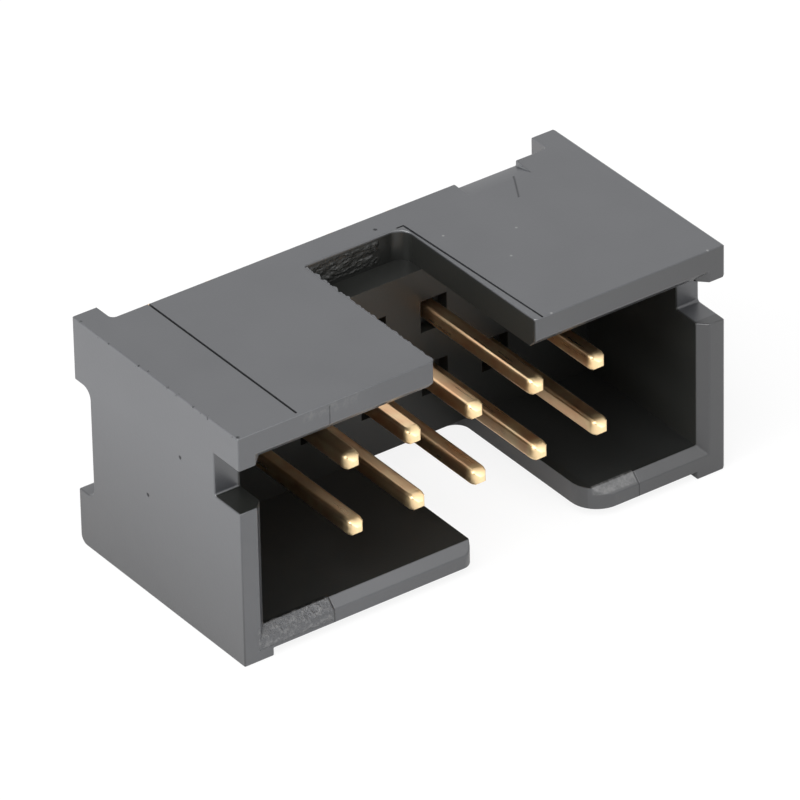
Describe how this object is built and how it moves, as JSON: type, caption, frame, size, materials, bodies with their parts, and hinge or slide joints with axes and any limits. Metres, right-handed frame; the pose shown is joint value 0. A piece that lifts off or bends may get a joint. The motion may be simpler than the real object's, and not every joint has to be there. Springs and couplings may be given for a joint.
{
  "type": "idc box header",
  "caption": "Shrouded through-hole pin header: a keyed plastic box round rows of square gold contacts, with standoff feet on its board side; takes a flat-cable socket.",
  "frame": {"origin": "middle of the contact field, level with the board face of the four feet", "axes": "+X along the housing, +Y out of the board side along the solder tails, so -Y points out of the mouth, +Z towards the wall with the key notch"},
  "size_m": [0.02, 0.0126, 0.0089],
  "materials": {
    "housing_plastic": "satin",
    "contact_plating": "satin"
  },
  "bodies": {
    "root": {"housing": "housing_plastic", "contact_pin_1": "contact_plating", "contact_pin_2": "contact_plating", "contact_pin_3": "contact_plating", "contact_pin_4": "contact_plating", "contact_pin_5": "contact_plating", "contact_pin_6": "contact_plating", "contact_pin_7": "contact_plating", "contact_pin_8": "contact_plating", "contact_pin_9": "contact_plating", "contact_pin_10": "contact_plating"}
  },
  "joints": []
}
